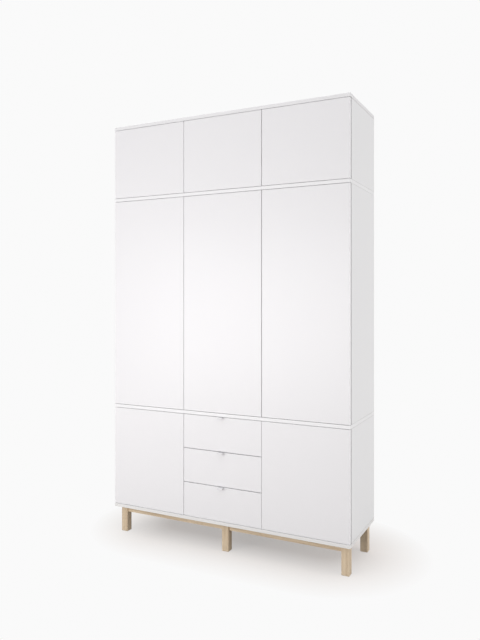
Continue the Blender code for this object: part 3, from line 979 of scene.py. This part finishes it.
@dataclass
class Door:
    """One door with its concealed hinges, its stops and its push latch."""

    name: str
    hand: Hand
    hinges: int
    board_above: str
    stop_behind: bool
    hinge: HingeSizes = HingeSizes()
    push: LatchSizes = LatchSizes()
    stop_radius: float = 0.0040
    stop_clear: float = 0.0005
    stop_edge: float = 0.0055
    stop_end: float = 0.030
    low: Vector = field(init=False)
    high: Vector = field(init=False)
    way: float = field(init=False)
    free: float = field(init=False)
    cup: float = field(init=False)
    face: float = field(init=False)
    back: float = field(init=False)
    carcass: float = field(init=False)
    levels: list[float] = field(init=False)

    def __post_init__(self) -> None:
        """Reads where the door, its hinges and the carcass are."""
        self.low, self.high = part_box(f"{self.name}_door")
        plates_low, plates_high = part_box(f"{self.name}_hinges")
        left = self.hand is Hand.LEFT
        self.way = self.hand.value
        self.free = self.high.x if left else self.low.x
        self.cup = (self.low.x if left else self.high.x) + self.way * self.hinge.cup_edge
        self.face = plates_low.x - SEAT if left else plates_high.x + SEAT
        self.back = self.high.y
        self.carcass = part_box("tall_left_side")[0].y
        half = self.hinge.plate_half
        self.levels = spaced(plates_low.z + half, plates_high.z - half, self.hinges - 1)

    def build(self) -> None:
        """Dresses the door and adds its fittings."""
        dress_node(f"{self.name}_door", FRONT_BOARD)
        self.cups()
        self.arms()
        self.links()
        self.latch()
        if self.stop_behind:
            self.stops()

    def cups(self) -> None:
        """Adds the cups in the door's bores, each with its wing and two screws."""
        size = self.hinge
        radius, depth = size.cup_radius, size.cup_depth
        outline = [(0.0, -depth), (radius, -depth),
                   *((radius + out, rise) for out, rise in size.cup_rim),
                   *((radius + out, rise - depth) for out, rise in size.cup_foot),
                   (0.0, size.cup_sheet - depth)]
        wing = shifted(self.cup, size.wing, self.way)
        deep = shifted(self.back, size.wing_rise)
        screw = self.cup + self.way * size.wing_screw_in
        mesh = bmesh.new()
        for z in self.levels:
            add_turning(mesh, outline, (self.cup, self.back, z), REARWARD, size.cup_steps)
            add_block(mesh, wing, deep, about(z, size.wing_half), size.wing_ease)
            for level in about(z, size.wing_screw_half):
                add_screw(mesh, (screw, deep[1], level), REARWARD, size.wing_screw_radius)
        make_piece(f"{self.name}_hinge_cups", mesh, ZINC, f"{self.name}_door")

    def arms(self) -> None:
        """Adds the hinge arms on their winged plates, with the adjusting screws."""
        size = self.hinge
        crank = abs(self.cup - self.face) - size.crank_short
        side = [(self.face + self.way * (rise + crank * share), self.carcass + depth)
                for depth, rise, share in size.arm_side]
        plate = shifted(self.face, size.plate_rise, self.way)
        wings = shifted(self.carcass, size.plate_deep)
        saddle = shifted(self.carcass, size.saddle_deep)
        out = sideways(self.way)
        mesh = bmesh.new()
        for z in self.levels:
            outline = [(x, y, z - size.arm_half) for x, y in side]
            add_sweep(mesh, outline, (0.0, 0.0, size.arm_half * 2), size.arm_ease)
            add_block(mesh, plate, wings, about(z, size.plate_half), size.plate_ease)
            add_block(mesh, plate, saddle, about(z, size.saddle_half), size.saddle_ease)
            for level in about(z, size.plate_screw_half):
                seat = (plate[1], self.carcass + size.plate_screw_deep, level)
                add_screw(mesh, seat, out, size.plate_screw_radius)
            for depth in size.adjust_deep:
                seat = (self.face + self.way * size.adjust_rise, self.carcass + depth, z)
                add_screw(mesh, seat, out, size.adjust_radius)
        made = make_piece(f"{self.name}_hinge_arms", mesh, ZINC, CARCASS)
        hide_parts(f"{self.name}_hinges")

    def links(self) -> None:
        """Adds the links that reach from the arms into the cups, cut lengthways and left on no
        body.
        """
        size = self.hinge
        front, rear = self.back - size.link_sunk, self.carcass + size.link_behind
        mesh = bmesh.new()
        for z in self.levels:
            for low, high, half in size.links:
                add_block(mesh, about(self.cup, half), (front, rear), (z + low, z + high))
        cut_lengthways(mesh, size.link_shortest, size.link_cuts)
        made = make_piece(f"{self.name}_hinge_links", mesh, ZINC, None)
        z = self.levels[0]
        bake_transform(made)

    def latch(self) -> None:
        """Adds the push latch under the board above, with its plunger against the door."""
        size = self.push
        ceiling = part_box(self.board_above)[0].z - SEAT
        middle = self.free - self.way * size.inset
        half = size.width / 2
        front = self.carcass + size.set_back
        mesh = bmesh.new()
        add_block(mesh, about(middle, half), (front, front + size.length),
                  (ceiling - size.height, ceiling), size.ease, size.ease_segments)
        add_block(mesh, about(middle, half + size.ear), shifted(front, size.ear_deep),
                  (ceiling - size.ear_rise, ceiling), size.ear_ease)
        reach = front - self.back - size.clear
        outline = [(0.0, reach), (size.tip_radius, reach),
                   (size.rod_radius, reach - size.tip_round), *size.collar]
        foot = (middle, front, ceiling - size.height / 2)
        add_turning(mesh, outline, foot, FORWARD, size.rod_steps)
        for x in about(middle, half + size.screw_out):
            seat = (x, front + size.screw_deep, ceiling - size.ear_rise)
            add_screw(mesh, seat, DOWNWARD, size.screw_radius)
        make_piece(f"{self.name}_push_latch", mesh, PLASTIC, CARCASS)

    def stops(self) -> None:
        """Adds two soft stops near the door's free edge, where an upright is behind it."""
        rise = self.carcass - self.back - self.stop_clear
        x = self.free - self.way * self.stop_edge
        mesh = bmesh.new()
        for z in inside(self.low.z, self.high.z, self.stop_end):
            SOFT_STOP.add(mesh, (x, self.back, z), REARWARD, self.stop_radius, rise)
        make_piece(f"{self.name}_soft_stops", mesh, BUFFER, f"{self.name}_door")


@dataclass
class Drawer:
    """One drawer: its front, pull and box, and the runners it slides on."""

    name: str
    pull_half: float = 0.015
    sheet: float = 0.0015
    sheet_ease: float = 0.0003
    bend: float = 0.0040
    bend_steps: int = 8
    lip: float = 0.0070
    flange: float = 0.0180
    pull_screw_half: float = 0.008
    pull_screw_drop: float = 0.0108
    wall: float = 0.012
    wall_ease: float = 0.0012
    seam: float = 0.00015
    floor: Pair = (0.001, 0.006)
    floor_ease: float = 0.0004
    side_space: float = 0.013
    runner_height: float = 0.045
    runner_rim: float = 0.0030
    # Bars on the box and telescopes beside them: distances from the upright, and from the
    # runner's mouth and the box's rear.
    bar_out: Pair = (0.0085, 0.0130)
    bar_ends: Pair = (0.010, 0.002)
    bar_narrower: float = 0.0070
    telescope_out: Pair = (0.0026, 0.0076)
    telescope_ends: Pair = (0.012, 0.004)
    telescope_shortest: float = 0.1
    telescope_cuts: int = 24
    telescope_fixed: float = 0.060
    slide_ease: float = 0.0008
    runner_screws: Pair = (0.006, 0.330)
    runner_sheet: float = 0.0018
    screw_radius: float = 0.0030
    front_screw_in: float = 0.060
    front_screw_end: float = 0.030
    front_screw_radius: float = 0.0042
    body: str = field(init=False)
    faces: tuple[Pair, Pair] = field(init=False)
    inner: Pair = field(init=False)
    tall: Pair = field(init=False)
    start: float = field(init=False)
    rear: float = field(init=False)
    mouth: float = field(init=False)
    runner_low: float = field(init=False)

    def __post_init__(self) -> None:
        """Reads where the box and the runners are."""
        self.body = f"{self.name}_drawer"
        left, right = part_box(f"{self.body}_left_runner"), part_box(f"{self.body}_right_runner")
        box_low, box_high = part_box(f"{self.body}_box")
        self.faces = ((left[0].x - SEAT, 1.0), (right[1].x + SEAT, -1.0))
        self.inner = tuple(face + way * self.side_space for face, way in self.faces)
        self.tall = (box_low.z, box_high.z)
        self.start, self.rear = box_low.y, box_high.y
        self.mouth, self.runner_low = left[0].y, left[0].z

    def build(self) -> None:
        """Dresses the front and runners, and adds the pull, box, slides and screws."""
        dress_node(f"{self.body}_front", FRONT_BOARD)
        for hand in ("left", "right"):
            dress_node(f"{self.body}_{hand}_runner", ZINC)
        self.pull()
        self.box()
        self.slides()
        self.screws()

    def pull(self) -> None:
        """Adds the bent sheet pull on the front's top edge."""
        low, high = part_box(f"{self.body}_pull")
        middle = (low.x + high.x) / 2
        tip, hem = high.z - self.lip, high.z - self.flange
        bend_y, bend_z = low.y + self.bend, high.z - self.bend
        outer, inner = ([(bend_y - radius * math.cos(turn), bend_z + radius * math.sin(turn))
                         for turn in spaced(0.0, math.pi / 2, self.bend_steps)]
                        for radius in (self.bend, self.bend - self.sheet))
        flange = [(high.y, high.z), (high.y, hem), (high.y - self.sheet, hem),
                  (high.y - self.sheet, high.z - self.sheet)]
        section = [(low.y, tip), *outer, *flange, *reversed(inner), (low.y + self.sheet, tip)]
        mesh = bmesh.new()
        outline = [(middle - self.pull_half, y, z) for y, z in section]
        add_sweep(mesh, outline, (self.pull_half * 2, 0.0, 0.0))
        ends = [edge for edge in mesh.edges
                if abs(edge.verts[0].co.x - edge.verts[1].co.x) < 1e-6]
        ease_edges(mesh, ends, self.sheet_ease, 2)
        for x in about(middle, self.pull_screw_half):
            seat = (x, high.y, high.z - self.pull_screw_drop)
            add_screw(mesh, seat, REARWARD, self.screw_radius)
        made = make_piece(f"{self.body}_bent_pull", mesh, SPRAYED, self.body)
        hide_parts(f"{self.body}_pull")

    def box(self) -> None:
        """Adds the box's four walls and its thin bottom."""
        left, right = self.inner
        inset = self.wall + self.seam
        between = inside(left, right, inset)
        mesh = bmesh.new()
        for across in ((left, left + self.wall), (right - self.wall, right)):
            add_block(mesh, across, (self.start, self.rear), self.tall, self.wall_ease)
        for deep in ((self.start, self.start + self.wall), (self.rear - self.wall, self.rear)):
            add_block(mesh, between, deep, self.tall, self.wall_ease)
        walls = make_piece(f"{self.body}_box_walls", mesh, BOX_BOARD, self.body)
        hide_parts(f"{self.body}_box")
        mesh = bmesh.new()
        sheet = shifted(self.tall[0], self.floor)
        add_block(mesh, between, inside(self.start, self.rear, inset), sheet, self.floor_ease)
        make_piece(f"{self.body}_box_bottom", mesh, BOX_SHEET, self.body)

    def slides(self) -> None:
        """Adds the bars on the box, and the telescopic bars between them and the runners."""
        low = self.runner_low + self.runner_rim
        high = self.runner_low + self.runner_height - self.runner_rim
        bars, telescopes = bmesh.new(), bmesh.new()
        for mesh, out, ends, narrower in (
                (bars, self.bar_out, self.bar_ends, self.bar_narrower),
                (telescopes, self.telescope_out, self.telescope_ends, 0.0)):
            deep = (self.mouth + ends[0], self.rear - ends[1])
            for face, way in self.faces:
                add_block(mesh, shifted(face, out, way), deep, inside(low, high, narrower),
                          self.slide_ease)
        make_piece(f"{self.body}_slide_bars", bars, ZINC, self.body)
        cut_lengthways(telescopes, self.telescope_shortest, self.telescope_cuts)
        made = make_piece(f"{self.body}_telescopes", telescopes, ZINC, None)
        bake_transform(made)

    def screws(self) -> None:
        """Adds the screws that fix the runners, and those through the box into the front."""
        level = self.runner_low + self.runner_height / 2
        mesh = bmesh.new()
        for face, way in self.faces:
            for depth in self.runner_screws:
                seat = (face + way * self.runner_sheet, self.mouth + depth, level)
                add_screw(mesh, seat, sideways(way), self.screw_radius)
        make_piece(f"{self.body}_runner_screws", mesh, ZINC, CARCASS)
        mesh = bmesh.new()
        for x in inside(*self.inner, self.front_screw_in):
            for z in inside(*self.tall, self.front_screw_end):
                seat = (x, self.start + self.wall, z)
                add_screw(mesh, seat, REARWARD, self.front_screw_radius)
        make_piece(f"{self.body}_front_screws", mesh, ZINC, self.body)


@dataclass
class Inside:
    """Shelves on their pins, and the hanging rail in its sockets."""

    # Each shelf and the space between its ends and the uprights.
    shelves: dict[str, float] = field(default_factory=lambda: {
        "left_shelf_1": 0.0040, "left_shelf_2": 0.0040, "hat_shelf": 0.0})
    pin_radius: float = 0.0024
    pin_out: float = 0.0080
    pin_front: float = 0.050
    pin_tip: float = 0.7
    pin_round: float = 0.4
    pin_collar: float = 1.7
    pin_collar_rise: Pair = (0.0010, 0.0012)
    pin_steps: int = 12
    tube_wall: float = 0.0015
    tube_steps: int = 48
    socket_cover: float = 0.0180
    socket_depth: float = 0.0126
    socket_round: float = 0.0012
    socket_clear: float = 0.0004
    socket_lip: float = 0.0030
    socket_hollow: float = 0.0044
    socket_steps: int = 40

    def build(self) -> None:
        """Dresses the shelves and adds their pins and the rail."""
        for name in self.shelves:
            dress_node(name, LEVEL_BOARD)
            self.pins(name)
        self.rail()

    def pins(self, name: str) -> None:
        """Adds the four pins that carry a shelf.

        Args:
            name: The shelf's node.
        """
        low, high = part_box(name)
        space = self.shelves[name]
        radius, out, collar = self.pin_radius, self.pin_out, self.pin_radius * self.pin_collar
        outline = [(0.0, out), (radius * self.pin_tip, out),
                   (radius, out - radius * self.pin_round), (radius, self.pin_collar_rise[1]),
                   (collar, self.pin_collar_rise[0]), (collar, 0.0), (0.0, 0.0)]
        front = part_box("tall_left_side")[0].y + self.pin_front
        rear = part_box("tall_back")[0].y - self.pin_front
        mesh = bmesh.new()
        for x, way in ((low.x - space, 1.0), (high.x + space, -1.0)):
            for y in (front, rear):
                foot = (x, y, low.z - SEAT - radius)
                add_turning(mesh, outline, foot, sideways(way), self.pin_steps)
        make_piece(f"{name}_pins", mesh, ZINC, CARCASS)

    def rail(self) -> None:
        """Adds the smooth hanging tube and the sockets that hold its ends."""
        low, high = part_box("hanging_rail")
        centre = (low + high) / 2
        radius, length = (high.z - low.z) / 2, high.x - low.x
        bore = radius - self.tube_wall
        mesh = bmesh.new()
        add_ring(mesh, [(radius, 0.0), (radius, length), (bore, length), (bore, 0.0)],
                 (low.x, centre.y, centre.z), sideways(1.0), self.tube_steps)
        made = make_piece("hanging_tube", mesh, CHROME, CARCASS)
        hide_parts("hanging_rail")
        cover, depth = self.socket_cover, self.socket_depth
        mouth, hollow = radius + self.socket_clear, radius + self.socket_hollow
        outline = [(cover, 0.0), (cover, depth - self.socket_round),
                   (cover - self.socket_round, depth), (mouth, depth),
                   (mouth, depth - self.socket_lip), (hollow, depth - self.socket_lip),
                   (hollow, 0.0)]
        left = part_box("tall_divider")[0].x + BOARD_THICKNESS
        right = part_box("tall_right_side")[1].x - BOARD_THICKNESS
        mesh = bmesh.new()
        for x, way in ((left, 1.0), (right, -1.0)):
            add_ring(mesh, outline, (x, centre.y, centre.z), sideways(way), self.socket_steps)
        make_piece("rail_sockets", mesh, CHROME, CARCASS)


@dataclass(frozen=True)
class Lamp:
    """One soft area lamp, with its power in watts."""

    name: str
    place: Triple
    aim: Triple
    width: float
    height: float
    power: float

    def build(self) -> None:
        """Hangs the lamp and turns it towards its aim."""
        data = bpy.data.lights.new(self.name, "AREA")
        data.shape = "RECTANGLE"
        data.size = self.width
        data.size_y = self.height
        data.energy = self.power
        made = bpy.data.objects.new(self.name, data)
        made.location = self.place
        look = Vector(self.aim) - Vector(self.place)
        made.rotation_euler = look.to_track_quat("-Z", "Y").to_euler()
        bpy.context.scene.collection.objects.link(made)


@dataclass
class Studio:
    """Pale floor, soft lamps, white surroundings and the camera."""

    place: Triple = (1.5878, -3.1238, 1.3504)
    turn: float = 26.861
    lens: float = 35.41
    sensor: float = 36.0
    drop: float = -0.0339
    sight: float = 60.0
    floor_half: float = 9.0
    # Middle of the painted glow's weakest part, over the shadow; half the width it stays weakest
    # over; and how far it rises to full white.
    middle: Triple = (0.03, 0.10, 0.0)
    footprint: float = 0.44
    fade_from: float = 0.10
    fade_to: float = 0.56
    # Pale floor colour as camera and reflections see it, warmed with painted bounce light from the
    # oak.
    floor_with_painted_bounce: Colour = (0.66, 0.56, 0.50, 1.0)
    # Share of painted glow that lightens the floor's shadow next to the wardrobe; it rises to full
    # white further off.
    painted_floor_glow: float = 0.36
    bounce_colour: Colour = (0.60, 0.575, 0.55, 1.0)
    near_bounce: float = 0.30
    bounce_reach: float = 0.85
    sky_low: float = 0.46
    sky_high: float = 1.00
    backdrop: float = 0.955
    lamps: tuple[Lamp, ...] = (
        Lamp("key_softbox", (-0.90, -2.9, 1.16), (0.0, -0.2, 1.16), 2.6, 1.5, 40.2),
        Lamp("side_softbox", (4.6, 0.2, 1.2), (0.6, 0.0, 1.0), 2.4, 2.4, 40.0),
        Lamp("top_softbox", (0.4, -1.0, 4.4), ORIGIN, 3.0, 3.0, 18.0))

    def build(self) -> None:
        """Builds everything round the wardrobe."""
        bpy.context.scene.view_settings.view_transform = "Standard"
        self.camera()
        self.world()
        self.floor()
        for lamp in self.lamps:
            lamp.build()

    def camera(self) -> None:
        """Adds the camera at the photograph's viewing angle."""
        data = bpy.data.cameras.new("camera")
        data.lens = self.lens
        data.sensor_width = self.sensor
        data.shift_y = self.drop
        data.clip_end = self.sight
        made = bpy.data.objects.new("camera", data)
        made.location = self.place
        made.rotation_euler = (math.pi / 2, 0.0, math.radians(self.turn))
        bpy.context.scene.collection.objects.link(made)
        bpy.context.scene.camera = made

    @staticmethod
    def plainly_seen(graph: Graph) -> Socket:
        """Tells rays that show the surroundings from rays that light the object.

        Args:
            graph: The graph of a stage material or the world.

        Returns:
            A socket that is 1 for camera, glossy and transmission rays.
        """
        rays = graph.add("ShaderNodeLightPath").outputs
        seen = graph.math("MAXIMUM", rays["Is Camera Ray"], rays["Is Glossy Ray"])
        return graph.math("MAXIMUM", seen, rays["Is Transmission Ray"])

    def world(self) -> None:
        """Makes the surroundings white to look at and soft as light."""
        world = bpy.data.worlds.new("white_surroundings")
        world.use_nodes = True
        bpy.context.scene.world = world
        graph = Graph(world.node_tree)
        height = graph.part(graph.add("ShaderNodeTexCoord").outputs["Generated"], Axis.Z)
        sky = graph.spread(height, start=self.sky_low, end=self.sky_high)
        strength = graph.spread(self.plainly_seen(graph), start=sky, end=self.backdrop)
        light = graph.add("ShaderNodeBackground", {"Color": WHITE, "Strength": strength})
        graph.add("ShaderNodeOutputWorld", {"Surface": light.outputs[0]})

    def floor(self) -> None:
        """Adds a pale floor that keeps the shadow, lightened by painted glow, and fades to white
        further off.
        """
        mesh = bmesh.new()
        bmesh.ops.create_grid(mesh, x_segments=2, y_segments=2, size=self.floor_half)
        data = bpy.data.meshes.new("studio_floor")
        mesh.to_mesh(data)
        mesh.free()
        data.materials.append(self.floor_paint())
        made = bpy.data.objects.new("studio_floor", data)
        bpy.context.scene.collection.objects.link(made)

    def floor_paint(self) -> bpy.types.Material:
        """Makes the floor's paint, matt with some painted glow over the shadow near the wardrobe,
        and as white as the backdrop far off.

        Returns:
            The material.
        """
        paint = bpy.data.materials.new("studio_floor")
        paint.use_nodes = True
        graph = Graph(paint.node_tree)
        place = graph.add("ShaderNodeTexCoord").outputs["Object"]
        offset = graph.vector("ABSOLUTE", graph.vector("SUBTRACT", place, self.middle))
        beyond = graph.vector("SUBTRACT", offset, (self.footprint, 0.0, 0.0))
        away = graph.measure("LENGTH", graph.vector("MAXIMUM", beyond, ORIGIN))
        # Painted glow: a share of backdrop white laid over the floor, least over the shadow.
        fade = graph.spread(away, self.fade_from, self.fade_to, start=self.painted_floor_glow)
        seen = self.plainly_seen(graph)
        white = graph.math("MULTIPLY", fade, seen)
        bounce = graph.spread(away, high=self.bounce_reach, start=self.near_bounce)
        carried = graph.mix(bounce, BLACK, self.bounce_colour)
        # Seen rays get the pale floor warmed with painted bounce light; other rays get the bounce
        # colour.
        colour = graph.mix(seen, carried, self.floor_with_painted_bounce)
        matt = graph.add("ShaderNodeBsdfDiffuse", {"Color": colour}).outputs[0]
        shine = {"Color": WHITE, "Strength": self.backdrop}
        glow = graph.add("ShaderNodeEmission", shine).outputs[0]
        mixed = graph.add("ShaderNodeMixShader", {0: white, 1: matt, 2: glow}).outputs[0]
        graph.add("ShaderNodeOutputMaterial", {"Surface": mixed})
        return paint


def main() -> None:
    """Builds the studio and each sub-assembly in order."""
    logging.basicConfig(level=logging.INFO, format="%(name)s: %(message)s")
    Studio().build()
    LegFrame().build()
    Carcass().build()
    Inside().build()
    doors = (
        Door("base_left", Hand.LEFT, 2, "lower_board", stop_behind=True),
        Door("base_right", Hand.RIGHT, 2, "lower_board", stop_behind=True),
        Door("tall_left", Hand.LEFT, 3, "upper_board", stop_behind=True),
        Door("tall_middle", Hand.LEFT, 3, "upper_board", stop_behind=False),
        Door("tall_right", Hand.RIGHT, 3, "upper_board", stop_behind=False),
        Door("top_left", Hand.LEFT, 2, "top_board", stop_behind=True),
        Door("top_middle", Hand.LEFT, 2, "top_board", stop_behind=False),
        Door("top_right", Hand.RIGHT, 2, "top_board", stop_behind=False),
    )
    for door in doors:
        door.build()
    for name in ("lower", "middle", "upper"):
        Drawer(name).build()


if __name__ == "__main__":
    main()
